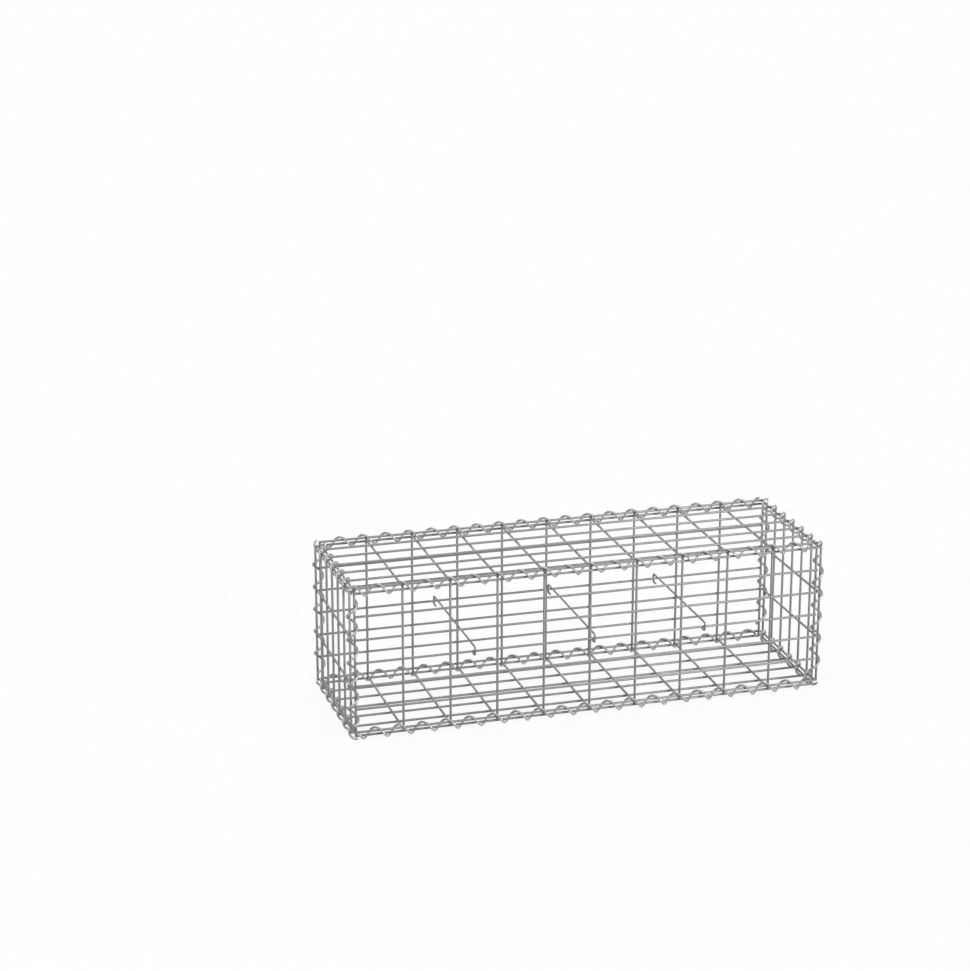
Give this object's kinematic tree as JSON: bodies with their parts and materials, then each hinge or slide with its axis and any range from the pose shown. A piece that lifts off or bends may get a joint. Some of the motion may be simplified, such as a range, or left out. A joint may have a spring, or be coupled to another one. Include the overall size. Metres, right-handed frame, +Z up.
{
  "type": "gabion wall basket",
  "caption": "Empty welded-mesh gabion basket: galvanised wire panels laced along every edge with spirals and tied front to back with hooked wires, filled with stone to make a wall.",
  "frame": {"origin": "middle of the basket's footprint, on the ground that the bottom spirals rest on", "axes": "+X along the length, +Y from the front to the back, +Z up"},
  "size_m": [1.036, 0.328, 0.3333],
  "materials": {
    "mesh_wire": "satin galvanised drawn wire",
    "spiral_wire": "bright galvanised spring wire",
    "tie_wire": "satin galvanised bent wire"
  },
  "bodies": {
    "root": {"front_panel": "mesh_wire", "back_panel": "mesh_wire", "left_panel": "mesh_wire", "right_panel": "mesh_wire", "bottom_panel": "mesh_wire", "lid_panel": "mesh_wire", "spiral_bottom_front": "spiral_wire", "spiral_bottom_back": "spiral_wire", "spiral_top_front": "spiral_wire", "spiral_top_back": "spiral_wire", "spiral_bottom_left": "spiral_wire", "spiral_bottom_right": "spiral_wire", "spiral_top_left": "spiral_wire", "spiral_top_right": "spiral_wire", "spiral_front_left": "spiral_wire", "spiral_front_right": "spiral_wire", "spiral_back_left": "spiral_wire", "spiral_back_right": "spiral_wire", "tie_left": "tie_wire", "tie_middle": "tie_wire", "tie_right": "tie_wire"}
  },
  "joints": []
}
